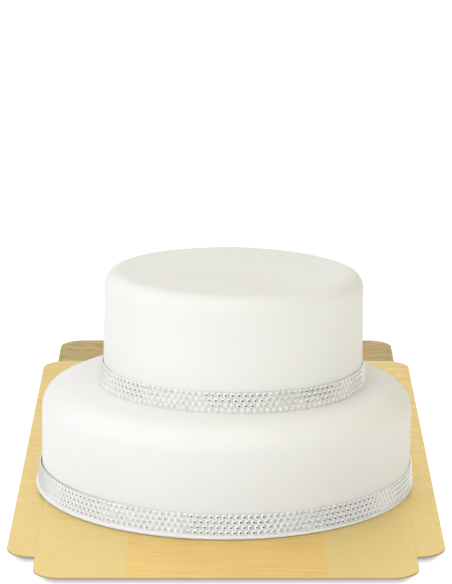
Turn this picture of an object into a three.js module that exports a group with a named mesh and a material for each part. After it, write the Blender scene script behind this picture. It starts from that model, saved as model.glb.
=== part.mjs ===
// Two-tier wedding cake: two round cakes covered in white rolled icing, a ribbon of mirror studs
// round the base of each, all on three crossed gold cake cards. Millimetres, +Z up, front to -Y.
import * as THREE from "three";

// Driving dimensions.
const LOWER_DIAMETER = 300; // a 30 cm tier
const UPPER_DIAMETER = 210; // a 21 cm tier
const LOWER_HEIGHT = 83.6; // at the tier's axis
const UPPER_HEIGHT = 91.4;
const LOWER_SHOULDER = 20; // rounding of the icing at the lower tier's top edge
const UPPER_SHOULDER = 12;
const CROWN = 1.5; // how far the top of the upper tier swells at its middle
// The tops are a little out of level: each falls this much per millimetre to +X and to the back.
const LEVEL = { right: 0, back: 0 };
const LEDGE_LEAN = { right: 0.01, back: 0.026 };
const TOP_LEAN = { right: 0.017, back: 0.036 };
const UPPER_RIGHT = 5.6; // the upper tier stands this far to +X of the lower one
const UPPER_BACK = 4.7; // and this far behind it
const FOOT_HEIGHT = 3; // rim of icing at the foot of the lower tier
const FOOT_REACH = 3; // how far that rim stands out
const FOOT_TUCK = 0.6; // how far its underside is drawn in

const CARD_THICKNESS = 1.6;
const CARD_CORNER = 22; // corner radius of the cards
// Each card's middle lies this far back from the cake's axis.
const TOP_CARD = { width: 290, depth: 400, back: -38 }; // shows furthest at the front
const MIDDLE_CARD = { width: 336, depth: 554, back: 93 }; // shows at both sides
const BOTTOM_CARD = { width: 312, depth: 600, back: 150 }; // shows furthest at the back

const STUD_PITCH = 5.15; // along the ribbon
const ROW_SPACING = 4.1; // up the ribbon, every second row half a pitch along
const STUD_ROWS = 4;
const STUD_DIAMETER = 4.7;
const STUD_HEIGHT = 0.9;
const FILM_THICKNESS = 0.6;
const FILM_EDGE = 0.3; // bare film above and below the studs

const CONTACT_GAP = 0.3; // left between pieces that touch
const RIBBON_SLACK = 1.3; // a ribbon's loop is this much wider in radius than its tier
const RIBBON_SHIFT = -0.8; // so it lies close at +X and stands off at -X

// Derived sizes and levels.
const RIBBON_HEIGHT = (STUD_ROWS - 1) * ROW_SPACING + STUD_DIAMETER + 2 * FILM_EDGE;
const CARD_STEP = CARD_THICKNESS + CONTACT_GAP;
const LOWER_LEVEL = 3 * CARD_STEP;
const FRONT_EDGE = TOP_CARD.back - TOP_CARD.depth / 2;
const BACK_EDGE = BOTTOM_CARD.back + BOTTOM_CARD.depth / 2;
const AXIS_Y = -(FRONT_EDGE + BACK_EDGE) / 2; // the cake's axis, from the middle of the whole

// How finely the round shapes are cut.
const CURVE_STEPS = 3;
const CORNER_STEPS = 6;
const TIER_SIDES_PER_MM = 0.32; // sides of a tier, per millimetre of its diameter
const COLUMNS_PER_STUD = 2; // a peak and a valley
const COLUMNS_PER_INNER_SIDE = 4;

const ICING = new THREE.MeshStandardMaterial({
  name: "white_icing",
  color: 0xf3f2ec,
  roughness: 0.55,
  metalness: 0,
});
const MIRROR_STUDS = new THREE.MeshStandardMaterial({
  name: "mirror_studs",
  color: 0xdfe1e4,
  roughness: 0.15,
  metalness: 1,
});
const GOLD_CARD = new THREE.MeshStandardMaterial({
  name: "gold_card",
  color: 0xe6cb86,
  roughness: 0.35,
  metalness: 0.8,
});

// A named mesh on the given level, this far to +X of the cake's axis and this far back from it.
function piece(name, geometry, material, x, back, level) {
  const mesh = new THREE.Mesh(geometry, material);
  mesh.name = name;
  mesh.position.set(x, AXIS_Y + back, level);
  return mesh;
}

// A flat card with round corners, centred on the origin, its underside at level 0.
function cardGeometry({ width, depth }) {
  const right = width / 2;
  const back = depth / 2;
  const r = CARD_CORNER;
  const outline = new THREE.Shape();
  outline.absarc(right - r, back - r, r, 0, Math.PI / 2, false);
  outline.absarc(-right + r, back - r, r, Math.PI / 2, Math.PI, false);
  outline.absarc(-right + r, -back + r, r, Math.PI, 1.5 * Math.PI, false);
  outline.absarc(right - r, -back + r, r, 1.5 * Math.PI, 2 * Math.PI, false);
  outline.closePath();
  return new THREE.ExtrudeGeometry(outline, {
    depth: CARD_THICKNESS,
    bevelEnabled: false,
    curveSegments: CORNER_STEPS,
  });
}

// Half the section of a tier, from the middle of its underside up to the middle of its top.
function tierProfile(radius, height, shoulder, foot, crown) {
  const section = new THREE.Path();
  section.moveTo(0, 0);
  if (foot) {
    const underside = radius + FOOT_REACH - FOOT_TUCK;
    const bulge = radius + FOOT_REACH + FOOT_TUCK;
    section.lineTo(underside, 0);
    section.quadraticCurveTo(bulge, FOOT_HEIGHT - FOOT_TUCK, radius, FOOT_HEIGHT);
  } else {
    section.lineTo(radius, 0);
  }
  section.lineTo(radius, height - shoulder);
  section.absarc(radius - shoulder, height - shoulder, shoulder, 0, Math.PI / 2, false);
  if (crown > 0) {
    section.quadraticCurveTo((radius - shoulder) / 2, height + crown, 0, height + crown);
  } else {
    section.lineTo(0, height);
  }
  return section.getPoints(CURVE_STEPS);
}

// Lets a piece lean: each point sinks by the lean of the piece's foot and, in proportion to its
// height, by that of its top instead.
function leanOver(geometry, height, footLean, topLean) {
  const points = geometry.getAttribute("position");
  for (let i = 0; i < points.count; i++) {
    const share = points.getZ(i) / height;
    const right = footLean.right + (topLean.right - footLean.right) * share;
    const back = footLean.back + (topLean.back - footLean.back) * share;
    const fall = right * points.getX(i) + back * points.getY(i);
    points.setZ(i, points.getZ(i) - fall);
  }
  geometry.computeVertexNormals();
}

// One tier: the cake and its icing in one solid, turned about its upright axis.
function tierGeometry({ diameter, height, shoulder, foot, crown, footLean, topLean }) {
  const profile = tierProfile(diameter / 2, height, shoulder, foot, crown);
  const sides = Math.round(diameter * TIER_SIDES_PER_MM);
  const geometry = new THREE.LatheGeometry(profile, sides);
  geometry.rotateX(Math.PI / 2);
  leanOver(geometry, height, footLean, topLean);
  return geometry;
}

// Level of the lower tier's leaning top, this far to +X of the cake's axis and behind it.
function ledgeLevel(right, back) {
  return LOWER_LEVEL + LOWER_HEIGHT - LEDGE_LEAN.right * right - LEDGE_LEAN.back * back;
}

// A closed loop of film with rows of studs on its outside. The outside is a grid of columns
// and levels: each stud is a peak with valleys on its four sides, and every second row is set
// half a pitch along. The smooth inner wall has one side for every few columns.
function studdedLoopGeometry(innerRadius) {
  const filmRadius = innerRadius + FILM_THICKNESS;
  const peakRadius = filmRadius + STUD_HEIGHT;
  const length = 2 * Math.PI * filmRadius;
  const studs = 2 * Math.round(length / STUD_PITCH / 2);
  const columns = studs * COLUMNS_PER_STUD;
  const innerSides = columns / COLUMNS_PER_INNER_SIDE;
  const firstRow = FILM_EDGE + STUD_DIAMETER / 2;
  const levels = [0];
  for (let row = 0; row < STUD_ROWS; row++) levels.push(firstRow + row * ROW_SPACING);
  levels.push(RIBBON_HEIGHT);
  const topLevel = levels.length - 1;

  const positions = [];
  const faces = [];
  const isPeak = (column, level) =>
    level > 0 && level < topLevel && (column + level) % COLUMNS_PER_STUD === 0;

  levels.forEach((height, level) => {
    for (let column = 0; column < columns; column++) {
      const angle = (column / columns) * 2 * Math.PI;
      const radius = isPeak(column, level) ? peakRadius : filmRadius;
      positions.push(radius * Math.cos(angle), radius * Math.sin(angle), height);
    }
  });
  const innerStart = levels.length * columns;
  for (const height of [0, RIBBON_HEIGHT]) {
    for (let side = 0; side < innerSides; side++) {
      const angle = (side / innerSides) * 2 * Math.PI;
      positions.push(innerRadius * Math.cos(angle), innerRadius * Math.sin(angle), height);
    }
  }
  const outer = (column, level) => level * columns + (column % columns);
  const inner = (side, end) => innerStart + end * innerSides + (side % innerSides);

  // The outside: each cell is split from valley to valley.
  for (let level = 0; level < topLevel; level++) {
    for (let column = 0; column < columns; column++) {
      const a = outer(column, level);
      const b = outer(column + 1, level);
      const c = outer(column + 1, level + 1);
      const d = outer(column, level + 1);
      if (isPeak(column, level) || isPeak(column + 1, level + 1)) faces.push(a, b, d, b, c, d);
      else faces.push(a, b, c, a, c, d);
    }
  }
  // The two edges, from the inner wall to the outside, and the inner wall.
  for (let side = 0; side < innerSides; side++) {
    const first = side * COLUMNS_PER_INNER_SIDE;
    for (let step = 0; step < COLUMNS_PER_INNER_SIDE; step++) {
      faces.push(inner(side, 0), outer(first + step + 1, 0), outer(first + step, 0));
      faces.push(inner(side, 1), outer(first + step, topLevel), outer(first + step + 1, topLevel));
    }
    const last = first + COLUMNS_PER_INNER_SIDE;
    faces.push(inner(side, 0), inner(side + 1, 0), outer(last, 0));
    faces.push(inner(side, 1), outer(last, topLevel), inner(side + 1, 1));
    faces.push(inner(side, 0), inner(side, 1), inner(side + 1, 1));
    faces.push(inner(side, 0), inner(side + 1, 1), inner(side + 1, 0));
  }
  const geometry = new THREE.BufferGeometry();
  geometry.setAttribute("position", new THREE.Float32BufferAttribute(positions, 3));
  geometry.setIndex(faces);
  geometry.computeVertexNormals();
  return geometry;
}

// The three crossed cards, one on the other.
function cards() {
  const stack = [
    ["card_bottom", BOTTOM_CARD],
    ["card_middle", MIDDLE_CARD],
    ["card_top", TOP_CARD],
  ];
  return stack.map(([name, card], place) =>
    piece(name, cardGeometry(card), GOLD_CARD, 0, card.back, place * CARD_STEP),
  );
}

// The two tiers, the upper one a little off the lower one's middle.
function tiers() {
  const lower = tierGeometry({
    diameter: LOWER_DIAMETER,
    height: LOWER_HEIGHT,
    shoulder: LOWER_SHOULDER,
    foot: true,
    crown: 0,
    footLean: LEVEL,
    topLean: LEDGE_LEAN,
  });
  const upper = tierGeometry({
    diameter: UPPER_DIAMETER,
    height: UPPER_HEIGHT,
    shoulder: UPPER_SHOULDER,
    foot: false,
    crown: CROWN,
    footLean: LEDGE_LEAN,
    topLean: TOP_LEAN,
  });
  const upperLevel = ledgeLevel(UPPER_RIGHT, UPPER_BACK) + CONTACT_GAP;
  return [
    piece("lower_tier", lower, ICING, 0, 0, LOWER_LEVEL),
    piece("upper_tier", upper, ICING, UPPER_RIGHT, UPPER_BACK, upperLevel),
  ];
}

// The two ribbons, one above the icing rim of the lower tier, one on the lower tier's top.
function ribbons() {
  const lower = studdedLoopGeometry(LOWER_DIAMETER / 2 + RIBBON_SLACK);
  const upper = studdedLoopGeometry(UPPER_DIAMETER / 2 + RIBBON_SLACK);
  leanOver(upper, RIBBON_HEIGHT, LEDGE_LEAN, LEDGE_LEAN);
  const lowerLevel = LOWER_LEVEL + FOOT_HEIGHT + CONTACT_GAP;
  const upperRight = UPPER_RIGHT + RIBBON_SHIFT;
  const upperLevel = ledgeLevel(upperRight, UPPER_BACK) + CONTACT_GAP;
  return [
    piece("lower_ribbon", lower, MIRROR_STUDS, RIBBON_SHIFT, 0, lowerLevel),
    piece("upper_ribbon", upper, MIRROR_STUDS, upperRight, UPPER_BACK, upperLevel),
  ];
}

const cake = new THREE.Group();
cake.name = "tiered_wedding_cake";
cake.add(...cards(), ...tiers(), ...ribbons());

export default cake;
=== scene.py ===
"""Two-tier wedding cake: rolled icing, studded ribbons and gold cake cards, in a white studio.

Laid out as an add-on: settings, one operator for each group of like pieces and one for the
studio, and a panel. Lengths are metres, +Z is up and the front of the cake faces -Y.
"""
import math
import typing

import bpy
import numpy as np
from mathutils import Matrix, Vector


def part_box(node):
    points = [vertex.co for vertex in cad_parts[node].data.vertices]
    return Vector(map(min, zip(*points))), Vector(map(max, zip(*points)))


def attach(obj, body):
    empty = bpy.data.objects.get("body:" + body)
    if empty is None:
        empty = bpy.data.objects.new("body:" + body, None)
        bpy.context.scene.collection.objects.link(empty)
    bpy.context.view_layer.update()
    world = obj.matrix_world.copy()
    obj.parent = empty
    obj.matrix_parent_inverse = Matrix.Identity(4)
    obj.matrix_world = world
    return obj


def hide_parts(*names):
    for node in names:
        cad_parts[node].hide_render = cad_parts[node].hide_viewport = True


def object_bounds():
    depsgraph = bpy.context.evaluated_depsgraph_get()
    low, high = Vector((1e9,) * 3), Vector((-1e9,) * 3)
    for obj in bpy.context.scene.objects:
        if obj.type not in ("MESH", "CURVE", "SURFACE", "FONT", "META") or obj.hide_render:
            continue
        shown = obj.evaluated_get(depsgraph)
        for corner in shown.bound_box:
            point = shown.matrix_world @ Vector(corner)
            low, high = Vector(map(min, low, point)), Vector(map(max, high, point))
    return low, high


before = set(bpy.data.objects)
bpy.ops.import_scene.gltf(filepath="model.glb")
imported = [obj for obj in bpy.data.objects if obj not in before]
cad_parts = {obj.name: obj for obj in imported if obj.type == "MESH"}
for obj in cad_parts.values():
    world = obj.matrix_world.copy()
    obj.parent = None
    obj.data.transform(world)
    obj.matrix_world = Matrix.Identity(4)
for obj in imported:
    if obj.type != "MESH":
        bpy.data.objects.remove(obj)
SOLIDS_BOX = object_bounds()

bl_info = {
    "name": "Tiered Wedding Cake",
    "version": (1, 0, 0),
    "blender": (4, 5, 0),
    "location": "View3D > Sidebar > Cake",
    "description": "Dresses a tiered cake with rolled icing, studded ribbons and gold cards",
    "category": "Object",
}

MM = 0.001
FULL_TURN = 2.0 * math.pi
QUARTER_TURN = 0.5 * math.pi
FRONT = -QUARTER_TURN
BODY = "root"

LOWER_LOW, LOWER_HIGH = (np.array(corner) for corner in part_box("lower_tier"))
UPPER_LOW, UPPER_HIGH = (np.array(corner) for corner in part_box("upper_tier"))
LOWER_MIDDLE = (LOWER_LOW + LOWER_HIGH) / 2.0
UPPER_MIDDLE = (UPPER_LOW + UPPER_HIGH) / 2.0
CONTACT_GAP = 0.3 * MM
# What the rim of icing adds to half the width of the lower tier's solid.
FOOT_REACH_IN_SOLID = 2.65 * MM
# How much slimmer the walls are than the solids', to leave room for the icing's waves.
LOWER_INSET = 0.55 * MM
UPPER_INSET = 0.3 * MM
LOWER_RADIUS = float(LOWER_HIGH[0] - LOWER_LOW[0]) / 2.0 - FOOT_REACH_IN_SOLID - LOWER_INSET
UPPER_RADIUS = float(UPPER_HIGH[0] - UPPER_LOW[0]) / 2.0 - UPPER_INSET


# --- Settings ---


def amount(label, text, default, **extra):
    """A property that is a plain number."""
    return bpy.props.FloatProperty(name=label, description=text, default=default, **extra)


def length(label, text, default):
    """A length property in metres."""
    return amount(label, text, default, unit="LENGTH", precision=5)


def slant(label, text, degrees):
    """An angle property, its default given in degrees."""
    return amount(label, text, math.radians(degrees), subtype="ANGLE")


def whole(label, text, default):
    """A property that is a whole number."""
    return bpy.props.IntProperty(name=label, description=text, default=default)


def colour(label, of_what, default):
    """A colour property."""
    return bpy.props.FloatVectorProperty(
        name=label, description="Colour of " + of_what, default=default,
        subtype="COLOR", size=3, min=0.0, max=1.0,
    )


def group_of(kind, label, text):
    """A property that holds one group of settings."""
    return bpy.props.PointerProperty(type=kind, name=label, description=text)


class TierSettings(bpy.types.PropertyGroup):
    """Sizes of the two iced tiers."""

    lower_radius: length("Lower radius", "Radius of the lower tier's wall", LOWER_RADIUS)
    upper_radius: length("Upper radius", "Radius of the upper tier's wall", UPPER_RADIUS)
    lower_height: length("Lower height", "Height of the lower tier", 83.6 * MM)
    upper_height: length("Upper height", "Height of the upper tier's side", 91.4 * MM)
    lower_shoulder: length("Lower shoulder", "Rounding of the lower tier's top edge", 20.0 * MM)
    upper_shoulder: length("Upper shoulder", "Rounding of the upper tier's top edge", 12.0 * MM)
    crown: length("Crown", "How far the upper tier's top swells at its middle", 1.5 * MM)
    lower_lean: amount("Lower lean", "Fall of the lower top towards +X, per metre", 0.010)
    upper_lean: amount("Upper lean", "Fall of the upper top towards +X, per metre", 0.017)
    lower_back_lean: amount("Lower back lean", "Fall of the lower top backwards, per metre", 0.026)
    upper_back_lean: amount("Upper back lean", "Fall of the upper top backwards, per metre", 0.036)
    ribbon_lean: amount("Ribbon lean", "Fall of the lower ribbon towards +X, per metre", 0.006)
    lower_bulge: length("Lower bulge", "How far the lower tier's wall bellies out", 0.3 * MM)
    lower_taper: length("Lower taper", "How far the lower tier's wall leans in at -X", 1.6 * MM)
    upper_taper: length("Upper taper", "How far the upper tier's wall leans in at -X", 2.3 * MM)
    foot_height: length("Foot height", "Height of the icing rim round the lower tier", 3.0 * MM)
    foot_reach: length("Foot reach", "How far that rim stands out", 3.7 * MM)
    foot_swing: length("Foot swing", "How much more it stands out at -X", 0.9 * MM)
    waviness: length("Waviness", "Depth of the hand-smoothed hollows in the icing", 0.28 * MM)


class RibbonSettings(bpy.types.PropertyGroup):
    """Sizes of the studded ribbon."""

    lower_studs: whole("Lower studs", "Studs in one row of the lower ribbon", 187)
    upper_studs: whole("Upper studs", "Studs in one row of the upper ribbon", 130)
    lower_start: length("Lower start", "Where the lower top row's front stud sits", -1.37 * MM)
    upper_start: length("Upper start", "Where the upper top row's front stud sits", -0.6 * MM)
    row_spacing: length("Row spacing", "Spacing of the rows of studs", 4.12 * MM)
    rows: whole("Rows", "Rows of studs", 4)
    stud_radius: length("Stud radius", "Radius of a stud's round foot", 2.34 * MM)
    stud_height: length("Stud height", "Height of a stud above the film", 0.9 * MM)
    table_radius: length("Table radius", "Radius of the flat facet on a stud", 0.75 * MM)
    facets: whole("Facets", "Facets round a stud", 8)
    film_thickness: length("Film thickness", "Thickness of the ribbon's film", 0.25 * MM)
    film_edge: length("Film edge", "Bare film above and below the studs", 0.15 * MM)
    flare: slant("Flare", "Angle by which the ribbon leans out at its foot", 2.8)
    sink: length("Sink", "How far the ribbon's foot is pressed into the icing", 0.3 * MM)
    lower_close: length("Lower close gap", "Gap behind the lower ribbon at +X", 0.1 * MM)
    lower_loose: length("Lower loose gap", "Gap behind the lower ribbon at -X", 0.9 * MM)
    upper_close: length("Upper close gap", "Gap behind the upper ribbon at +X", 0.4 * MM)
    upper_loose: length("Upper loose gap", "Gap behind the upper ribbon at -X", 0.5 * MM)
    lower_spread: slant("Lower spread", "How much more the lower ribbon leans out at -X", 2.5)
    upper_spread: slant("Upper spread", "How much more the upper ribbon leans out at -X", 8.0)


class CardSettings(bpy.types.PropertyGroup):
    """Sizes of the gold cards."""

    corner: length("Corner", "Corner radius of a card", 22.0 * MM)
    edge_round: length("Edge rounding", "Rounding of a card's cut edge", 0.35 * MM)
    ripple: length("Ripple", "Height of the faint ripples in a card", 0.06 * MM)
    patch_half_width: length("Patch", "Half the width of the top card's patch", 77.0 * MM)


class LookSettings(bpy.types.PropertyGroup):
    """Colours of the finishes."""

    icing: colour("Icing", "the rolled icing", (0.93, 0.93, 0.925))
    icing_shade: colour("Icing shade", "its faint mottling", (0.905, 0.903, 0.885))
    gold: colour("Gold foil", "the gold foil", (0.95, 0.745, 0.305))
    gold_deep: colour("Deep gold", "the foil's darker grain", (0.74, 0.55, 0.21))
    gold_patch: colour("Gold patch", "the burnished patch", (1.0, 0.75, 0.275))
    patch_streaks: colour("Patch streaks", "its brushed streaks", (0.93, 0.61, 0.18))
    # The bottom card's foil is the same gold painted darker: painted shade for the lowest card,
    # under the middle one.
    shaded_gold: colour("Shaded gold foil", "the bottom card's foil", (0.66, 0.5, 0.21))
    shaded_gold_deep: colour("Shaded gold grain", "its darker grain", (0.38, 0.27, 0.1))
    card_core: colour("Card core", "a card's cut edge and underside", (0.44, 0.37, 0.23))
    bounce: colour("Bounce", "the cards' light on the icing", (1.0, 0.99, 0.94))
    silver: colour("Silver", "the mirror studs", (0.98, 0.98, 0.96))
    film: colour("Film", "the ribbon's pale film", (0.85, 0.85, 0.84))


class StudioSettings(bpy.types.PropertyGroup):
    """Camera and light."""

    elevation: slant("Elevation", "Camera's height above the horizon", 16.0)
    aim_lift: slant("Aim lift", "How far the camera looks above the middle of the cake", 1.67)
    distance: length("Distance", "From the camera to the middle of the cake", 2.6)
    lens: amount("Lens", "Focal length in millimetres", 198.0)
    key_watts: amount("Key", "Power of the large light at the left", 0.2)
    fill_watts: amount("Fill", "Power of the light above the camera", 0.6)


class CakeSettings(bpy.types.PropertyGroup):
    """All the settings of the cake."""

    tiers: group_of(TierSettings, "Tiers", "Sizes of the tiers")
    ribbon: group_of(RibbonSettings, "Ribbon", "Sizes of the ribbons")
    cards: group_of(CardSettings, "Cards", "Sizes of the cards")
    look: group_of(LookSettings, "Look", "Colours of the finishes")
    studio: group_of(StudioSettings, "Studio", "Camera and light")


# --- Surfaces ---

# Rows on a flat side, and on a tier's underside, run between these shares of its size.
FLAT_SPAN = (0.03, 0.985)
UNDER_SPAN = (0.06, 0.99)


def make_mesh(name, points, face_groups, smooth=True):
    """A mesh from an array of points and arrays of faces, each with one number of corners."""
    mesh = bpy.data.meshes.new(name)
    corners = np.concatenate([group.ravel() for group in face_groups]).astype(np.int32)
    sizes = np.concatenate([np.full(len(group), group.shape[1]) for group in face_groups])
    starts = np.concatenate(([0], np.cumsum(sizes)[:-1])).astype(np.int32)
    mesh.vertices.add(len(points))
    mesh.vertices.foreach_set("co", points.astype(np.float32).ravel())
    mesh.loops.add(len(corners))
    mesh.loops.foreach_set("vertex_index", corners)
    mesh.polygons.add(len(sizes))
    mesh.polygons.foreach_set("loop_start", starts)
    mesh.update(calc_edges=True)
    mesh.polygons.foreach_set("use_smooth", np.full(len(sizes), smooth))
    if mesh.validate():
        raise RuntimeError(f"{name}: the mesh had faults")
    return mesh


def grid_faces(rows, columns, close_rows=False):
    """Four-cornered faces of a grid that closes round its columns, facing out.

    Rows run up the outside and columns run anticlockwise seen from above. With close_rows the
    last row joins the first one too.
    """
    row = np.arange(rows if close_rows else rows - 1)[:, None]
    column = np.arange(columns)[None, :]
    following = (column + 1) % columns
    start, above = row * columns, (row + 1) % rows * columns
    corners = (start + column, start + following, above + following, above + column)
    return np.stack(corners, axis=-1).reshape(-1, 4)


def pole_faces(rows, columns):
    """Triangles from the first row to a pole below it and from the last row to a pole above it.

    The poles are the two points that follow the grid's own.
    """
    column = np.arange(columns)
    following = (column + 1) % columns
    pole = rows * columns
    last = pole - columns
    low = np.stack((np.full(columns, pole), following, column), axis=1)
    high = np.stack((last + column, last + following, np.full(columns, pole + 1)), axis=1)
    return np.concatenate((low, high))


def with_poles(points, top):
    """A grid's points in one list, and after them a pole at the foot and one at a height."""
    poles = np.array(((0.0, 0.0, 0.0), (0.0, 0.0, top)))
    return np.concatenate((points.reshape(-1, 3), poles))


def turned(spoke, angle, rise):
    """Points at spoke times (cos, sin) of an angle about the upright axis, at a height."""
    parts = np.broadcast_arrays(spoke * np.cos(angle), spoke * np.sin(angle), rise)
    return np.stack(parts, axis=-1)


def unit(vectors):
    """Rows of vectors, each brought to a length of one."""
    return vectors / np.linalg.norm(vectors, axis=1)[:, None]


def soft_waves(points, wavelength, seed, count=14):
    """A smooth field between about -1 and 1 at each point.

    It is a sum of cosine waves that run in seeded random directions, with lengths from 0.7 to
    1.4 times the wavelength.
    """
    draw = np.random.default_rng(seed)
    directions = unit(draw.normal(size=(count, 3)))
    lengths = wavelength * draw.uniform(0.7, 1.4, count)
    phases = draw.uniform(0.0, FULL_TURN, count)
    waves = np.cos(points @ (directions * (FULL_TURN / lengths)[:, None]).T + phases)
    return waves.sum(axis=-1) / count * 2.0


def section_normals(section):
    """Outward normals of a section of (radius, height) points that runs up the outside."""
    along = np.gradient(section, axis=0)
    return unit(np.stack((along[:, 1], -along[:, 0]), axis=1))


def add_object(name, data):
    """An object at the origin, linked to the scene."""
    made = bpy.data.objects.new(name, data)
    bpy.context.scene.collection.objects.link(made)
    return made


def new_piece(name, mesh, material, node):
    """An object at the origin that rides on the cake's one body and stands for a solid."""
    mesh.materials.append(material)
    piece = add_object(name, mesh)
    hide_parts(node)
    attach(piece, BODY)
    return piece


# --- Finishes ---

WHITE = (1.0, 1.0, 1.0)
BLACK = (0.0, 0.0, 0.0)


def feed(tree, node, given):
    """Give a node's inputs numbers and colours, or links where the value is a socket."""
    for label, value in given.items():
        socket = node.inputs[label]
        if isinstance(value, bpy.types.NodeSocket):
            tree.links.new(value, socket)
        else:
            socket.default_value = (*value, 1.0) if socket.type == "RGBA" else value


def add_node(tree, kind, given=None, **choices):
    """A shader node with its choices made and its inputs fed."""
    made = tree.nodes.new("ShaderNode" + kind)
    for name, value in choices.items():
        setattr(made, name, value)
    feed(tree, made, given or {})
    return made


def maths(tree, operation, first, second):
    """The result of a Math node on two numbers or sockets."""
    return add_node(tree, "Math", {0: first, 1: second}, operation=operation).outputs[0]


def spanned(tree, value, source=(0.0, 1.0), target=(0.0, 1.0), curve="LINEAR"):
    """A value in the source range carried over to the target range."""
    labels = ("Value", "From Min", "From Max", "To Min", "To Max")
    given = dict(zip(labels, (value, *source, *target)))
    return add_node(tree, "MapRange", given, interpolation_type=curve).outputs["Result"]


def mixed(tree, factor, first, second, blend="MIX"):
    """Two colours, or colour sockets, mixed by a factor."""
    given = {"Factor": factor, "A": first, "B": second}
    return add_node(tree, "Mix", given, data_type="RGBA", blend_type=blend).outputs["Result"]


def bumped(tree, height, distance, strength, after=None):
    """The normal of a Bump node fed by a height, after another normal where given."""
    given = {"Height": height, "Distance": distance, "Strength": strength}
    if after is not None:
        given["Normal"] = after
    return add_node(tree, "Bump", given).outputs["Normal"]


def mottle_group():
    """Two colours mixed by soft noise, with the noise's value for roughness and relief.

    The noise within the contrast of one half is spread from 0 to 1.
    """
    found = bpy.data.node_groups.get("soft_mottle")
    if found:
        return found
    group = bpy.data.node_groups.new("soft_mottle", "ShaderNodeTree")
    sockets = group.interface
    for label, kind, default in (
        ("Vector", "Vector", BLACK),
        ("Scale", "Float", 10.0),
        ("Detail", "Float", 3.0),
        ("Distortion", "Float", 0.0),
        ("Contrast", "Float", 0.3),
        ("Colour A", "Color", (*WHITE, 1.0)),
        ("Colour B", "Color", (0.5, 0.5, 0.5, 1.0)),
    ):
        socket = sockets.new_socket(label, in_out="INPUT", socket_type="NodeSocket" + kind)
        socket.default_value = default
    for label, kind in (("Colour", "Color"), ("Value", "Float")):
        sockets.new_socket(label, in_out="OUTPUT", socket_type="NodeSocket" + kind)
    taken = group.nodes.new("NodeGroupInput").outputs
    pattern = {label: taken[label] for label in ("Vector", "Scale", "Detail", "Distortion")}
    noise = add_node(group, "TexNoise", pattern, noise_dimensions="3D").outputs["Fac"]
    low = maths(group, "SUBTRACT", 0.5, taken["Contrast"])
    high = maths(group, "ADD", 0.5, taken["Contrast"])
    value = spanned(group, noise, (low, high), curve="SMOOTHSTEP")
    tone = mixed(group, value, taken["Colour A"], taken["Colour B"])
    feed(group, group.nodes.new("NodeGroupOutput"), {"Colour": tone, "Value": value})
    return group


def new_material(name):
    """A material with its Principled BSDF, ready for nodes."""
    material = bpy.data.materials.new(name)
    material.use_nodes = True
    tree = material.node_tree
    return material, tree, tree.nodes["Principled BSDF"]


def object_place(tree):
    """The Object coordinates."""
    return add_node(tree, "TexCoord").outputs["Object"]


def object_parts(tree):
    """The three Object coordinates, each by its letter."""
    return add_node(tree, "SeparateXYZ", {0: object_place(tree)}).outputs


def mottled(
    tree, distortion, contrast=0.3, detail=3.0, scale=1.0, stretch=(1.0, 1.0, 1.0),
    first=WHITE, second=BLACK,
):
    """The outputs of the soft_mottle group on Object coordinates times three factors."""
    mapping = add_node(tree, "Mapping", {"Vector": object_place(tree), "Scale": stretch})
    given = {
        "Vector": mapping.outputs["Vector"],
        "Scale": scale, "Detail": detail, "Distortion": distortion, "Contrast": contrast,
        "Colour A": first, "Colour B": second,
    }
    return add_node(tree, "Group", given, node_tree=mottle_group()).outputs


def icing_material(look):
    """White rolled icing: satin, faintly mottled, with a fine matt grain."""
    material, tree, shader = new_material("rolled_icing")
    broad = mottled(
        tree, distortion=0.4, contrast=0.22, scale=9.0, first=look.icing, second=look.icing_shade
    )
    grain = mottled(tree, distortion=0.0, detail=4.0, scale=950.0)["Value"]
    pores = mottled(tree, distortion=0.2, contrast=0.25, detail=2.0, scale=160.0)["Value"]
    relief = bumped(tree, pores, 0.03 * MM, 0.5)
    feed(tree, shader, {
        "Base Color": broad["Colour"],
        "Roughness": spanned(tree, pores, target=(0.44, 0.56)),
        "Normal": bumped(tree, grain, 0.012 * MM, 0.5, relief),
        "Specular IOR Level": 0.4,
        "Subsurface Weight": 0.12,
        "Subsurface Radius": (1.0, 0.8, 0.6),
        "Subsurface Scale": 3.0 * MM,
    })
    return material


def warm_patch(tree, cards):
    """Mask of the burnished patch in the middle of a card's front, with slightly uneven ends."""
    uneven, soft = 2.5 * MM, 1.5 * MM
    parts = object_parts(tree)
    ragged = mottled(tree, distortion=0.5, contrast=0.4, stretch=(30.0, 220.0, 30.0))["Value"]
    aside = add_node(tree, "Math", {0: parts["X"]}, operation="ABSOLUTE").outputs[0]
    reach = maths(tree, "ADD", aside, spanned(tree, ragged, target=(0.0, uneven)))
    edge = cards.patch_half_width
    sideways = spanned(tree, reach, (edge - soft, edge + soft), (1.0, 0.0))
    middle = float(LOWER_MIDDLE[1])
    forward = spanned(tree, parts["Y"], (middle - MM, middle), (1.0, 0.0))
    return maths(tree, "MULTIPLY", sideways, forward)


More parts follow.
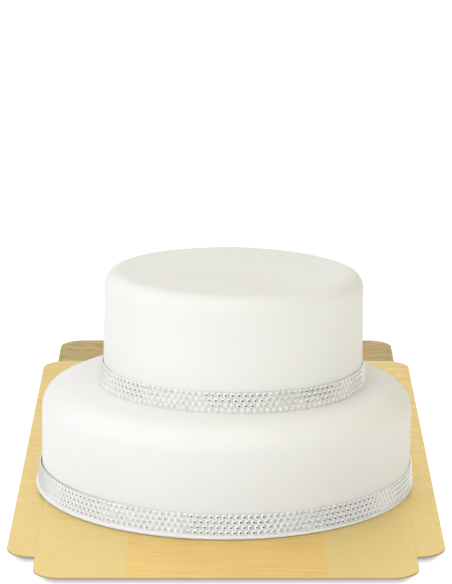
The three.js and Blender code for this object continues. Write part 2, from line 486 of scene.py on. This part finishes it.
def gold_material(look, cards, name, light, deep, patched):
    """Satin gold foil on the face, bare card on the cut edge and the underside.

    The foil's wavy grain darkens it, more and more towards the back: the grain is real, its
    growth to the back is painted shade. A card may have a burnished patch at its front. Matt
    surfaces get a paler colour back from it.
    """
    # How strongly the grain darkens the foil at the front and at the back; the growth to the back
    # is painted shade.
    shade_grain_at_front, shade_grain_at_back, broad_share = 0.03, 0.9, 0.1
    material, tree, shader = new_material(name)
    grain = mottled(tree, distortion=1.3, stretch=(42.0, 130.0, 42.0))["Value"]
    broad = mottled(tree, distortion=0.4, detail=2.0, stretch=(6.0, 9.0, 6.0))["Value"]
    depth = (SOLIDS_BOX[0][1], SOLIDS_BOX[1][1])
    shade_to_back = spanned(tree, object_parts(tree)["Y"], depth, (shade_grain_at_front, shade_grain_at_back))
    shade = maths(tree, "MULTIPLY", grain, shade_to_back)
    gold = mixed(tree, shade, light, deep)
    gold = mixed(tree, maths(tree, "MULTIPLY", broad, broad_share), gold, deep)
    if patched:
        streaks = mottled(
            tree, distortion=0.9, stretch=(22.0, 340.0, 22.0),
            first=look.gold_patch, second=look.patch_streaks,
        )
        gold = mixed(tree, warm_patch(tree, cards), gold, streaks["Colour"])
    foil = add_node(tree, "Attribute", attribute_name="foil").outputs["Fac"]
    face = mixed(tree, foil, look.card_core, gold)
    diffuse_ray = add_node(tree, "LightPath").outputs["Is Diffuse Ray"]
    feed(tree, shader, {
        "Base Color": mixed(tree, diffuse_ray, face, look.bounce),
        "Metallic": spanned(tree, foil, target=(0.0, 0.8)),
        "Roughness": spanned(tree, grain, target=(0.46, 0.54)),
        "Normal": bumped(tree, shade, 0.07 * MM, 0.3),
    })
    return material


def silver_material(name, tone, metallic, polish):
    """Silvered film or studs, with faint smears that vary the roughness within a range."""
    material, tree, shader = new_material(name)
    deep = tuple(0.95 * part for part in tone)
    smears = mottled(
        tree, distortion=0.5, contrast=0.25, detail=2.0, scale=130.0, first=tone, second=deep
    )
    feed(tree, shader, {
        "Base Color": smears["Colour"],
        "Metallic": metallic,
        "Roughness": spanned(tree, smears["Value"], target=polish),
        "Normal": bumped(tree, smears["Value"], 0.02 * MM, 0.3),
    })
    return material


# --- Iced tiers ---

# Points along the parts of a tier's section, and round the tier.
UNDER_POINTS = 14
RIM_POINTS = 21
WALL_POINTS = 29
SHOULDER_POINTS = 18
TOP_POINTS = 34
TIER_COLUMNS = 288
# The rim's bulge is half an ellipse whose cosine and sine are raised to this power.
RIM_POWER = 0.9
# Share of the wall's height at which the taper leaves its radius alone.
TAPER_PIVOT = 0.3
# The hand-smoothed waves: two lengths, the share of the fine ones, and the height over which
# all of them grow in above the foot.
BROAD_WAVE = 85.0 * MM
FINE_WAVE = 24.0 * MM
FINE_SHARE = 0.22
WAVE_RAMP = 12.0 * MM


class Tier(typing.NamedTuple):
    """What sets one tier apart: where its foot stands, its sizes and its small faults.

    Its rim is 1 with a rim of icing round its foot, and 0 without.
    """

    node: str
    place: tuple
    radius: float
    height: float
    shoulder: float
    crown: float
    foot_lean: tuple
    top_lean: tuple
    belly: float
    taper: float
    rim: float
    seed: int


def ledge_level(tiers):
    """Level of the lower tier's leaning top under the middle of the upper tier."""
    east, north = (UPPER_MIDDLE - LOWER_MIDDLE)[:2]
    fall = tiers.lower_lean * east + tiers.lower_back_lean * north
    return float(LOWER_LOW[2]) + tiers.lower_height - fall


def tier_section(tier, foot_height):
    """Section of a tier as (radius, height) points, and how far each one shares in the rim.

    The underside is flat, the rim at the foot is half an ellipse, slightly squared, its reach
    added later, the wall is upright, the shoulder is a quarter circle, and the top swells by
    crown times one less the square of its share of the radius.
    """
    radius, height, shoulder = tier.radius, tier.height, tier.shoulder
    flat = radius - shoulder
    turn = np.linspace(-QUARTER_TURN, QUARTER_TURN, RIM_POINTS)
    rim_reach = np.abs(np.cos(turn)) ** RIM_POWER
    rim_rise = np.sign(np.sin(turn)) * np.abs(np.sin(turn)) ** RIM_POWER
    bend = np.linspace(0.0, QUARTER_TURN, SHOULDER_POINTS + 1)[1:]
    wall_height = np.linspace(foot_height, height - shoulder, WALL_POINTS + 1)[1:]
    share = np.linspace(*FLAT_SPAN[::-1], TOP_POINTS)
    parts = (
        (np.linspace(*UNDER_SPAN, UNDER_POINTS) * radius, np.zeros(UNDER_POINTS)),
        (np.full(RIM_POINTS, radius), foot_height * 0.5 * (1.0 + rim_rise)),
        (np.full(WALL_POINTS, radius), wall_height),
        (flat + shoulder * np.cos(bend), height - shoulder * (1.0 - np.sin(bend))),
        (share * flat, height + tier.crown * (1.0 - share**2)),
    )
    section = np.concatenate([np.stack(part, axis=1) for part in parts])
    reach = np.zeros(len(section))
    reach[UNDER_POINTS : UNDER_POINTS + RIM_POINTS] = rim_reach
    return section, reach


def iced_tier_mesh(name, tier, tiers):
    """A tier's surface: its section turned about the upright axis, closed at both poles.

    Each point is radius times (cos, sin) of the angle at the section's height. The wall bellies
    out smoothly towards the shoulder, and at -X it leans in by the taper. The rim's reach swings
    with the cosine of the angle, and soft waves push the surface in and out along its normal
    above the foot. The tier falls towards +X and the back by its foot's lean, which in a rim
    grows from nothing at the underside, and in proportion to height by its top's lean instead.
    """
    section, reach = tier_section(tier, tiers.foot_height)
    normals = section_normals(section)
    angle = np.arange(TIER_COLUMNS) / TIER_COLUMNS * FULL_TURN
    west = 0.5 * (1.0 - np.cos(angle))
    climb = np.clip(section[:, 1] / (tier.height - tier.shoulder), 0.0, 1.0)
    belly = tier.belly * (climb**2 * (3.0 - 2.0 * climb) - 0.5)
    taper = tier.taper * (TAPER_PIVOT - climb)
    shape = (belly[:, None] + taper[:, None] * west[None, :]) * section[:, 0, None] / tier.radius
    rim = tier.rim * (tiers.foot_reach - tiers.foot_swing * np.cos(angle))
    spoke = section[:, 0, None] + shape + reach[:, None] * rim[None, :]
    points = turned(spoke, angle, section[:, 1:])
    out = turned(normals[:, :1], angle, normals[:, 1:])
    swell = soft_waves(points, BROAD_WAVE, tier.seed)
    swell = swell + FINE_SHARE * soft_waves(points, FINE_WAVE, tier.seed + 1)
    free = np.clip((section[:, 1:] - tiers.foot_height) / WAVE_RAMP, 0.0, 1.0)
    points = points + out * (tiers.waviness * swell * free)[..., None]
    share = np.clip(points[..., 2] / tier.height, 0.0, 1.0)
    ramp = 1.0 - tier.rim * (1.0 - np.clip(points[..., 2] / tiers.foot_height, 0.0, 1.0))
    foot_lean, top_lean = np.array(tier.foot_lean), np.array(tier.top_lean)
    lean = foot_lean * (ramp - share)[..., None] + top_lean * share[..., None]
    points[..., 2] -= (lean * points[..., :2]).sum(axis=-1)
    every = with_poles(points, points[-1, :, 2].mean()) + tier.place
    rows = len(section)
    faces = (grid_faces(rows, TIER_COLUMNS), pole_faces(rows, TIER_COLUMNS))
    return make_mesh(name, every, faces)


class CAKE_OT_ice_tiers(bpy.types.Operator):
    """Cover the two tiers with smooth rolled icing"""

    bl_idname = "cake.ice_tiers"
    bl_label = "Ice the tiers"

    def execute(self, context):
        settings = context.scene.wedding_cake
        tiers = settings.tiers
        icing = icing_material(settings.look)
        ledge_lean = (tiers.lower_lean, tiers.lower_back_lean)
        lower = Tier(
            node="lower_tier", place=(*LOWER_MIDDLE[:2], LOWER_LOW[2]),
            radius=tiers.lower_radius, height=tiers.lower_height,
            shoulder=tiers.lower_shoulder, crown=0.0,
            foot_lean=(tiers.ribbon_lean, 0.0), top_lean=ledge_lean,
            belly=tiers.lower_bulge, taper=tiers.lower_taper, rim=1.0, seed=11,
        )
        upper = Tier(
            node="upper_tier", place=(*UPPER_MIDDLE[:2], ledge_level(tiers) + CONTACT_GAP),
            radius=tiers.upper_radius, height=tiers.upper_height,
            shoulder=tiers.upper_shoulder, crown=tiers.crown,
            foot_lean=ledge_lean, top_lean=(tiers.upper_lean, tiers.upper_back_lean),
            belly=0.0, taper=tiers.upper_taper, rim=0.0, seed=23,
        )
        for tier in (lower, upper):
            name = tier.node + "_icing"
            new_piece(name, iced_tier_mesh(name, tier, tiers), icing, tier.node)
        return {"FINISHED"}


# --- Studded ribbons ---

# Where a ribbon is loosest, from -X towards the front, and how narrow that place is.
LOOSE_BEARING = math.radians(22.0)
LOOSE_POWER = 12
# How far the film wanders in and out, and how deep the scallops of its edges are.
WANDER = 0.1 * MM
SCALLOP = 0.12 * MM
# Points up each side of the film's section and round each edge, and columns to a stud.
FILM_POINTS = 5
STEPS_PER_STUD = 6
# A stud's foot reaches this far into the film and above it before its facets begin.
STUD_SUNK = 0.15 * MM
STUD_LIP = 0.02 * MM
# Spread of the studs' places round the loop (radians), of their heights and of their tilts.
PLACE_JITTER = 0.00012
RISE_JITTER = 0.03 * MM
TIP_JITTER = math.radians(1.1)


class Loop(typing.NamedTuple):
    """One ribbon round its tier: where its foot lies, how closely, and its studs."""

    node: str
    place: tuple
    wall_radius: float
    lean: tuple
    close: float
    loose: float
    spread: float
    studs: int
    start: float
    seed: int


def ribbon_height(ribbon):
    """Height of the ribbon's film."""
    studs = (ribbon.rows - 1) * ribbon.row_spacing + 2.0 * ribbon.stud_radius
    return studs + 2.0 * ribbon.film_edge


def looseness(angle):
    """How loose a ribbon is, by angle: 1 near -X, rather to the front, and 0 elsewhere.

    It is a power of half of one less the cosine of the angle, turned by the bearing.
    """
    return (0.5 * (1.0 - np.cos(angle - LOOSE_BEARING))) ** LOOSE_POWER


def loop_flare(ribbon, loop, angle):
    """Tangent of the angle by which the film leans out at its foot, more where it is loose."""
    return np.tan(ribbon.flare + loop.spread * looseness(angle))


def loop_radius(loop, angle):
    """Radius of the film's inner face at its top edge, by angle.

    It is the wall's radius and a gap that opens from close to loose, with a slight seeded
    wander of two cosine waves.
    """
    gap = loop.close + (loop.loose - loop.close) * looseness(angle)
    draw = np.random.default_rng(loop.seed)
    phase = draw.uniform(0.0, FULL_TURN, 2)
    wander = 0.5 + 0.25 * np.cos(5.0 * angle + phase[0]) + 0.25 * np.cos(9.0 * angle + phase[1])
    return loop.wall_radius + gap + WANDER * wander


def stud_angle(loop, row, place):
    """Angle of a stud: every second row is set half a pitch along from the top row's start."""
    start = FRONT + loop.start / loop.wall_radius
    return start + (place + 0.5 * ((row + 1) % 2)) / loop.studs * FULL_TURN


def film_mesh(name, ribbon, loop):
    """The ribbon's film: a thin rounded section carried round the loop.

    The section goes up the outside, over the top edge, down the inside and under the bottom
    edge. Its radius is the loop's, and grows towards the foot by the flare. The two edges are
    scalloped, one wave to a stud, and the whole film falls by the loop's lean.
    """
    columns = loop.studs * STEPS_PER_STUD
    angle = np.arange(columns) / columns * FULL_TURN
    height = ribbon_height(ribbon)
    half = ribbon.film_thickness / 2.0
    turn = np.linspace(-QUARTER_TURN, QUARTER_TURN, FILM_POINTS)
    climb = np.linspace(0.0, 1.0, FILM_POINTS + 2)[1:-1]
    span = height - 2.0 * half
    side = np.full(FILM_POINTS, half)
    offset = np.concatenate((side, half * np.sin(-turn), -side, half * np.sin(turn)))
    lift = np.concatenate((
        half + climb * span,
        half + span + half * np.cos(turn),
        half + climb[::-1] * span,
        half - half * np.cos(turn),
    ))
    share = lift / height
    scallop = SCALLOP * np.cos(loop.studs * (angle - stud_angle(loop, 1, 0)))
    rise = lift[:, None] + (share[:, None] - 0.5) * 2.0 * scallop[None, :]
    inner = loop_radius(loop, angle)
    flare = loop_flare(ribbon, loop, angle)
    spoke = inner[None, :] + half + offset[:, None] + (height - rise) * flare[None, :]
    points = turned(spoke, angle, rise)
    points[..., 2] -= points[..., :2] @ np.array(loop.lean)
    every = points.reshape(-1, 3) + loop.place
    return make_mesh(name, every, (grid_faces(len(lift), columns, close_rows=True),))


def stud_form(ribbon):
    """One stud: a round foot sunk in the film, sloping facets and a flat table.

    Returns its points as (along, up, out), its two flat faces and its sloping ones.
    """
    side = np.arange(ribbon.facets)
    angle = (side + 0.5) / ribbon.facets * FULL_TURN
    rings = (
        (ribbon.stud_radius, -STUD_SUNK),
        (ribbon.stud_radius, STUD_LIP),
        (ribbon.table_radius, ribbon.stud_height),
    )
    points = np.concatenate([turned(radius, angle, out) for radius, out in rings])
    flats = np.stack((side[::-1], 2 * ribbon.facets + side))
    return points, flats, grid_faces(len(rings), ribbon.facets)


def studs_mesh(name, ribbon, loop):
    """Every stud of a ribbon in one mesh.

    A stud stands on the film's outside at its row's height. Its own axes are the tangent, the
    film's upward line and the film's outward normal, tipped a little at random, and its points
    are its form's, spun at random and carried into those axes. The flat faces have the first
    finish, and the sloping ones the second.
    """
    draw = np.random.default_rng(loop.seed)
    row, place = np.meshgrid(np.arange(ribbon.rows), np.arange(loop.studs), indexing="ij")
    row, place = row.ravel(), place.ravel()
    count = len(row)
    angle = stud_angle(loop, row, place) + draw.normal(0.0, PLACE_JITTER, count)
    rise = ribbon.film_edge + ribbon.stud_radius + row * ribbon.row_spacing
    rise = rise + draw.normal(0.0, RISE_JITTER, count)
    flare = loop_flare(ribbon, loop, angle)
    spoke = loop_radius(loop, angle) + ribbon.film_thickness
    spoke = spoke + (ribbon_height(ribbon) - rise) * flare
    upward = np.array((0.0, 0.0, 1.0))
    around = turned(1.0, angle, 0.0)
    tangent = np.cross(upward, around)
    lean = np.arctan(flare) + draw.normal(0.0, TIP_JITTER, count)
    swing = draw.normal(0.0, TIP_JITTER, count)
    out = around * np.cos(lean)[:, None] + upward * np.sin(lean)[:, None]
    out = unit(out + tangent * np.sin(swing)[:, None])
    across = unit(np.cross(upward, out))
    up = np.cross(out, across)
    form, flats, walls = stud_form(ribbon)
    spin = draw.uniform(0.0, FULL_TURN, count)[:, None]
    along_form = form[:, 0] * np.cos(spin) - form[:, 1] * np.sin(spin)
    up_form = form[:, 0] * np.sin(spin) + form[:, 1] * np.cos(spin)
    foot = turned(spoke, angle, rise)
    foot[:, 2] -= foot[:, :2] @ np.array(loop.lean)
    points = foot[:, None, :]
    for axis, part in ((across, along_form), (up, up_form), (out, form[None, :, 2])):
        points = points + axis[:, None, :] * part[..., None]
    first = np.arange(count)[:, None, None] * len(form)
    groups = [(faces[None] + first).reshape(-1, faces.shape[1]) for faces in (flats, walls)]
    mesh = make_mesh(name, points.reshape(-1, 3) + loop.place, groups, smooth=False)
    sloping = np.arange(len(mesh.polygons)) >= len(groups[0])
    mesh.polygons.foreach_set("material_index", sloping.astype(np.int32))
    return mesh


class CAKE_OT_wrap_ribbons(bpy.types.Operator):
    """Wrap a ribbon of mirror studs round the foot of each tier"""

    bl_idname = "cake.wrap_ribbons"
    bl_label = "Wrap the ribbons"

    def execute(self, context):
        settings = context.scene.wedding_cake
        ribbon, tiers, look = settings.ribbon, settings.tiers, settings.look
        film = silver_material("silver_film", look.film, 0.35, (0.4, 0.5))
        mirror = silver_material("mirror_tables", look.silver, 1.0, (0.06, 0.12))
        satin = silver_material("satin_facets", look.silver, 0.85, (0.3, 0.38))
        lower_level = LOWER_LOW[2] + tiers.foot_height - ribbon.sink
        lower = Loop(
            node="lower_ribbon", place=(*LOWER_MIDDLE[:2], lower_level),
            wall_radius=tiers.lower_radius, lean=(tiers.ribbon_lean, 0.0),
            close=ribbon.lower_close, loose=ribbon.lower_loose, spread=ribbon.lower_spread,
            studs=ribbon.lower_studs, start=ribbon.lower_start, seed=31,
        )
        upper = Loop(
            node="upper_ribbon", place=(*UPPER_MIDDLE[:2], ledge_level(tiers) - ribbon.sink),
            wall_radius=tiers.upper_radius, lean=(tiers.lower_lean, tiers.lower_back_lean),
            close=ribbon.upper_close, loose=ribbon.upper_loose, spread=ribbon.upper_spread,
            studs=ribbon.upper_studs, start=ribbon.upper_start, seed=47,
        )
        for loop in (lower, upper):
            name = loop.node + "_film"
            new_piece(name, film_mesh(name, ribbon, loop), film, loop.node)
            name = loop.node + "_studs"
            mesh = studs_mesh(name, ribbon, loop)
            new_piece(name, mesh, mirror, loop.node)
            mesh.materials.append(satin)
        return {"FINISHED"}


# --- Gold cards ---

CARD_NODES = ("card_bottom", "card_middle", "card_top")
# Rows of points across each flat side of a card and round its cut edge.
FLAT_ROWS = 44
EDGE_ROWS = 9
RIPPLE_LENGTH = 120.0 * MM


def round_rectangle(half_width, half_depth, corner, per_corner=16, per_side=26):
    """Outline of a rectangle with round corners, anticlockwise, and its outward normals.

    Each corner is a quarter circle about its hub, and each side is cut into even steps.
    """
    quarters = np.array(((1, 1), (-1, 1), (-1, -1), (1, -1)))
    hubs = quarters * (half_width - corner, half_depth - corner)
    share = np.linspace(0.0, 1.0, per_side + 2)[1:-1, None]
    points, normals = [], []
    for quarter, hub in enumerate(hubs):
        turn = (quarter + np.linspace(0.0, 1.0, per_corner)) * QUARTER_TURN
        ray = np.stack((np.cos(turn), np.sin(turn)), axis=1)
        side = hub * (1.0 - share) + hubs[(quarter + 1) % 4] * share
        points += [hub + corner * ray, side + corner * ray[-1]]
        normals += [ray, np.broadcast_to(ray[-1], (per_side, 2))]
    return np.concatenate(points), np.concatenate(normals)


def card_mesh(name, low, high, cards, seed):
    """A card with round corners and a softly rounded cut edge.

    Rows run from the middle of the underside out to the edge, round it and back to the middle
    of the face: inside the edge a row is the outline scaled towards the middle, at the edge it
    is the outline drawn in by the rounding. Soft waves lift the whole card a little. The point
    attribute foil is 1 on the face and its rounded rim, and 0 on the edge and the underside.
    """
    half_width, half_depth, thickness = (high - low) / (2.0, 2.0, 1.0)
    outline, normals = round_rectangle(half_width, half_depth, cards.corner)
    rounding = cards.edge_round
    turn = np.linspace(-QUARTER_TURN, QUARTER_TURN, EDGE_ROWS)
    inset = rounding * (1.0 - np.cos(turn))
    under_edge = rounding * (1.0 + np.sin(turn))
    over_edge = thickness - rounding * (1.0 - np.sin(turn))
    edge_height = np.where(turn < 0.0, under_edge, over_edge)
    edge = outline[None] - inset[:, None, None] * normals[None]
    flat = outline - rounding * normals
    inward = np.linspace(*FLAT_SPAN, FLAT_ROWS)[:, None, None] * flat[None]
    plan = np.concatenate((inward, edge, inward[::-1]))
    heights = np.concatenate((np.zeros(FLAT_ROWS), edge_height, np.full(FLAT_ROWS, thickness)))
    rows, columns = plan.shape[:2]
    rise = np.broadcast_to(heights[:, None, None], (rows, columns, 1))
    every = with_poles(np.concatenate((plan, rise), axis=-1), thickness)
    every[:, 2] += cards.ripple * soft_waves(every * (1.0, 1.0, 0.0), RIPPLE_LENGTH, seed)
    every += ((low[0] + high[0]) / 2.0, (low[1] + high[1]) / 2.0, low[2])
    mesh = make_mesh(name, every, (grid_faces(rows, columns), pole_faces(rows, columns)))
    foil = np.zeros(len(every), np.float32)
    foil[(FLAT_ROWS + EDGE_ROWS - 2) * columns : -2] = 1.0
    foil[-1] = 1.0
    mesh.attributes.new("foil", "FLOAT", "POINT").data.foreach_set("value", foil)
    return mesh


class CAKE_OT_lay_cards(bpy.types.Operator):
    """Lay the three crossed gold cards"""

    bl_idname = "cake.lay_cards"
    bl_label = "Lay the gold cards"

    def execute(self, context):
        settings = context.scene.wedding_cake
        look, cards = settings.look, settings.cards
        for node, name, light, deep, patched, seed in (
            # The bottom card gets the darkened gold, as painted shade.
            ("card_bottom", "bottom_gold_card", look.shaded_gold, look.shaded_gold_deep, False, 4),
            ("card_middle", "middle_gold_card", look.gold, look.gold_deep, False, 5),
            ("card_top", "top_gold_card", look.gold, look.gold_deep, True, 6),
        ):
            low, high = (np.array(corner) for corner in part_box(node))
            foil = gold_material(look, cards, name + "_foil", light, deep, patched)
            mesh = card_mesh(name, low, high, cards, seed)
            card = new_piece(name, mesh, foil, node)
            card.visible_glossy = False
        return {"FINISHED"}


# --- Studio ---

# Brightness of the walls in a mirror, by bearing in degrees: 0 is the camera's side, 90 is +X.
WALL_STOPS = (
    (-180, 0.8), (-124, 0.8), (-112, 0.18), (-85, 0.18), (-73, 1.0), (-28, 1.0), (-20, 0.08),
    (22, 0.08), (30, 0.55), (56, 0.55), (64, 0.04), (98, 0.04), (108, 1.0), (150, 1.0),
)
# Colours at the left and at the right: the ceiling in a mirror, and what lights matt surfaces.
CEILING_COLOURS = (1.03, 1.025, 1.02), (0.84, 0.815, 0.82)
MATT_COLOURS = (0.92, 0.92, 0.93), (0.25, 0.225, 0.0)
CREAM = (1.0, 0.99, 0.88)
# How bright the light on matt surfaces is all round, and how much more above the front.
MATT_LEVEL = 0.6
OVERHEAD_LEVEL = 1.68
# The cards' shadow painted on the floor: its reach, its corners' radius, how much more quickly
# it fades sideways, and how much floor a card's front edge hides for each unit of its height.
SHADE_REACH = 19.0 * MM
SHADE_CORNER = 25.0 * MM
SHADE_SIDEWAYS = 2.5
HIDDEN_PER_RISE = 3.5
FLOOR_REACH = 6.0
# The floor's own colour and its glow, each in the painted shadow and clear of it.
FLOOR_COLOURS = (0.2, 0.2, 0.2), (0.5, 0.5, 0.5)
GLOW_COLOURS = (0.36, 0.35, 0.35), WHITE
# Height above the lower tier's foot of the point that the lamps and the camera's arc face.
TARGET_HEIGHT = 80.0 * MM
# Width and height of the camera's sensor, in millimetres.
SENSOR = 36.0


def grey_ramp(tree, factor, stops):
    """The colour of a ramp of grey stops given as (position, value), at a factor."""
    made = add_node(tree, "ValToRGB", {"Fac": factor})
    points = made.color_ramp.elements
    while len(points) < len(stops):
        points.new(1.0)
    for point, (position, value) in zip(points, stops):
        point.position = position
        point.color = (value, value, value, 1.0)
    return made.outputs["Color"]


def studio_world():
    """The studio round the cake, which differs by the kind of ray that meets it.

    The camera sees white walls. Matt surfaces get a soft light that fades to the right and is
    stronger above the front. Mirrors see bright panels, dark spaces and a pale ceiling.
    """
    world = bpy.data.worlds.new("white_studio")
    bpy.context.scene.world = world
    world.use_nodes = True
    tree = world.node_tree
    tree.nodes.clear()

    def faded(value, start, end):
        return spanned(tree, value, (start, end), curve="SMOOTHSTEP")

    place = add_node(tree, "TexCoord").outputs["Generated"]
    east, north, up = add_node(tree, "SeparateXYZ", {0: place}).outputs
    rightward = faded(maths(tree, "ADD", east, maths(tree, "MULTIPLY", north, 0.25)), -0.35, 0.9)

    bearing = maths(tree, "ARCTAN2", east, maths(tree, "MULTIPLY", north, -1.0))
    turn = maths(tree, "ADD", maths(tree, "DIVIDE", bearing, FULL_TURN), 0.5)
    panels = grey_ramp(tree, turn, [(stop / 360.0 + 0.5, value) for stop, value in WALL_STOPS])
    below_ceiling = maths(tree, "SUBTRACT", 1.0, faded(up, 0.1, 0.3))
    band = maths(tree, "MULTIPLY", faded(up, -0.5, -0.36), below_ceiling)
    ceiling = mixed(tree, faded(east, -0.45, 0.45), *CEILING_COLOURS)
    walls = mixed(tree, rightward, panels, CREAM, "MULTIPLY")
    mirrored = mixed(tree, band, ceiling, walls)

    fade = mixed(tree, rightward, *MATT_COLOURS)
    overhead = maths(tree, "MULTIPLY", faded(up, 0.3, 0.85), faded(north, 0.65, -0.6))
    level = maths(tree, "ADD", maths(tree, "MULTIPLY", overhead, OVERHEAD_LEVEL), MATT_LEVEL)
    matt = add_node(tree, "VectorMath", {0: fade, "Scale": level}, operation="SCALE").outputs[0]

    ray = add_node(tree, "LightPath").outputs
    seen = mixed(tree, ray["Is Diffuse Ray"], mirrored, matt)
    seen = mixed(tree, ray["Is Camera Ray"], seen, WHITE)
    background = add_node(tree, "Background", {"Color": seen})
    add_node(tree, "OutputWorld", {"Surface": background.outputs[0]})


def painted_card_shadow(tree):
    """Mask of the floor that is clear of the cards' painted shadow: dark under them and close
    before them.

    For each card it is the distance beyond an outline with round corners, counted more quickly
    sideways, and the smallest of them rises from 0 to 1 over the reach. In front the outline
    lies in by as much floor as the card's raised edge hides, and at the sides and the back by
    so much that the shade ends at the card's edge.
    """
    place = object_place(tree)

    def vector(operation, first, second=BLACK):
        return add_node(tree, "VectorMath", {0: first, 1: second}, operation=operation).outputs

    clear = 1.0
    for node in CARD_NODES:
        low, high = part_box(node)
        front = low[1] + HIDDEN_PER_RISE * low[2] + SHADE_CORNER
        back = high[1] - SHADE_REACH - SHADE_CORNER
        aside = (high[0] - low[0]) / 2.0 - (SHADE_REACH + SHADE_CORNER) / SHADE_SIDEWAYS
        middle = ((low[0] + high[0]) / 2.0, (front + back) / 2.0, 0.0)
        apart = vector("ABSOLUTE", vector("SUBTRACT", place, middle)[0])[0]
        beyond = vector("SUBTRACT", apart, (aside, (back - front) / 2.0, 0.0))[0]
        beyond = vector("MAXIMUM", beyond)[0]
        beyond = vector("MULTIPLY", beyond, (SHADE_SIDEWAYS, 1.0, 1.0))[0]
        distance = vector("LENGTH", beyond)["Value"]
        rise = spanned(tree, distance, (SHADE_CORNER, SHADE_CORNER + SHADE_REACH))
        clear = maths(tree, "MINIMUM", clear, rise)
    return clear


def white_floor():
    """A wide floor, pale and faintly lit from within so that it meets the white walls, with the
    cards' shadow painted on it.
    """
    corners = np.array(((-1, -1, 0), (1, -1, 0), (1, 1, 0), (-1, 1, 0)), float) * FLOOR_REACH
    mesh = make_mesh("white_floor", corners, (np.array(((0, 1, 2, 3),)),), smooth=False)
    material, tree, shader = new_material("white_floor")
    # The shadow round the cards is painted: the mask darkens the floor's colour and its glow.
    clear = painted_card_shadow(tree)
    feed(tree, shader, {
        "Base Color": mixed(tree, clear, *FLOOR_COLOURS),
        "Roughness": 0.9,
        "Specular IOR Level": 0.1,
        "Emission Color": mixed(tree, clear, *GLOW_COLOURS),
        "Emission Strength": 0.8,
    })
    mesh.materials.append(material)
    floor = add_object("white_floor", mesh)
    floor.visible_glossy = False


def looking_at(name, data, location, target):
    """A camera or light at a location, turned towards a target."""
    made = add_object(name, data)
    made.location = location
    made.rotation_euler = (Vector(target) - Vector(location)).to_track_quat("-Z", "Y").to_euler()
    return made


class CAKE_OT_set_studio(bpy.types.Operator):
    """Set up the floor, the walls, the light and the camera"""

    bl_idname = "cake.set_studio"
    bl_label = "Set up the studio"

    def execute(self, context):
        studio = context.scene.wedding_cake.studio
        white_floor()
        studio_world()
        target = Vector((*LOWER_MIDDLE[:2], LOWER_LOW[2] + TARGET_HEIGHT))
        for name, size, watts, place in (
            ("left_panel", (1.6, 1.3), studio.key_watts, (-1.9, -1.6, 1.3)),
            ("front_panel", (1.4, 0.9), studio.fill_watts, (0.2, -1.7, 2.2)),
        ):
            lamp = bpy.data.lights.new(name, "AREA")
            lamp.shape = "RECTANGLE"
            lamp.size, lamp.size_y = size
            lamp.energy = watts
            looking_at(name, lamp, place, target)

        view = bpy.data.cameras.new("front_view")
        view.sensor_fit = "VERTICAL"
        view.sensor_height = SENSOR
        view.sensor_width = SENSOR
        view.lens = studio.lens
        back = Vector((0.0, -math.cos(studio.elevation), math.sin(studio.elevation)))
        location = target + back * studio.distance
        pitch = studio.elevation - studio.aim_lift
        ahead = Vector((0.0, math.cos(pitch), -math.sin(pitch)))
        scene = context.scene
        scene.camera = looking_at("front_view", view, location, location + ahead)
        scene.view_settings.view_transform = "Standard"
        scene.view_settings.look = "None"
        return {"FINISHED"}


# --- Panel and registration ---


class CAKE_PT_builder(bpy.types.Panel):
    """Lists the steps and settings of the cake"""

    bl_label = "Wedding cake"
    bl_idname = "CAKE_PT_builder"
    bl_space_type = "VIEW_3D"
    bl_region_type = "UI"
    bl_category = "Cake"

    def draw(self, context):
        layout = self.layout
        settings = context.scene.wedding_cake
        for step in STEPS:
            layout.operator(step.bl_idname)
        for part in ("tiers", "ribbon", "cards", "look", "studio"):
            box = layout.box()
            group = getattr(settings, part)
            for name in group.bl_rna.properties.keys():
                if name not in ("rna_type", "name"):
                    box.prop(group, name)


STEPS = (CAKE_OT_set_studio, CAKE_OT_lay_cards, CAKE_OT_ice_tiers, CAKE_OT_wrap_ribbons)
CLASSES = (
    TierSettings, RibbonSettings, CardSettings, LookSettings, StudioSettings, CakeSettings,
    *STEPS, CAKE_PT_builder,
)


def register():
    for kind in CLASSES:
        bpy.utils.register_class(kind)
    text = "All the settings of the cake"
    bpy.types.Scene.wedding_cake = group_of(CakeSettings, "Wedding cake", text)


def unregister():
    del bpy.types.Scene.wedding_cake
    for kind in reversed(CLASSES):
        bpy.utils.unregister_class(kind)


def main():
    register()
    bpy.ops.cake.set_studio()
    bpy.ops.cake.lay_cards()
    bpy.ops.cake.ice_tiers()
    bpy.ops.cake.wrap_ribbons()


if __name__ == "__main__":
    main()
